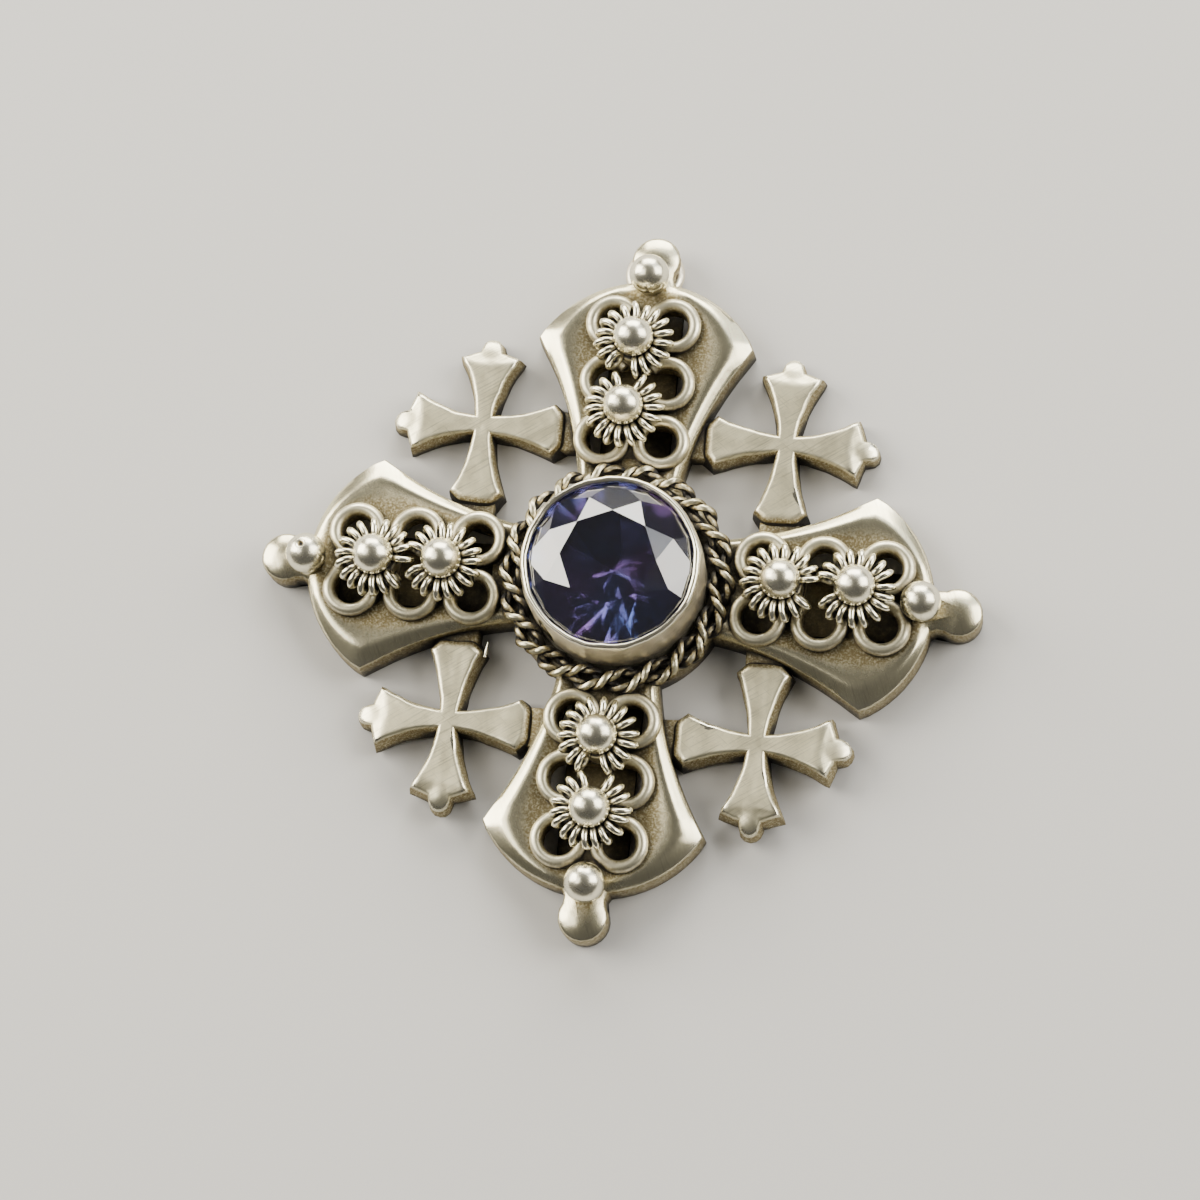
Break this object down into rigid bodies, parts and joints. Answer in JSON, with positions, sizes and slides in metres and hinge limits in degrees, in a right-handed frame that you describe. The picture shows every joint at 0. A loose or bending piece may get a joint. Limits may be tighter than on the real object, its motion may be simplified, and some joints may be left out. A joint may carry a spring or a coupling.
{
  "type": "jerusalem cross pendant",
  "caption": "Silver cross pendant with flared arms, corner crosses, wirework rosettes, a raised round violet stone and a loose bail ring.",
  "frame": {"origin": "middle of the back, on the surface that the pendant lies on", "axes": "+Z out of the face, +Y along the top arm towards the bail ring, +X to the right as seen from the front"},
  "size_m": [0.043, 0.043, 0.0077],
  "materials": {
    "silver": "warm sterling silver, satin faces, polished edges and balls, oxidised recesses",
    "stone": "deep violet-blue transparent faceted stone"
  },
  "bodies": {
    "root": {"silver_cross": "silver", "stone": "stone", "bail_ring": "silver"}
  },
  "joints": []
}
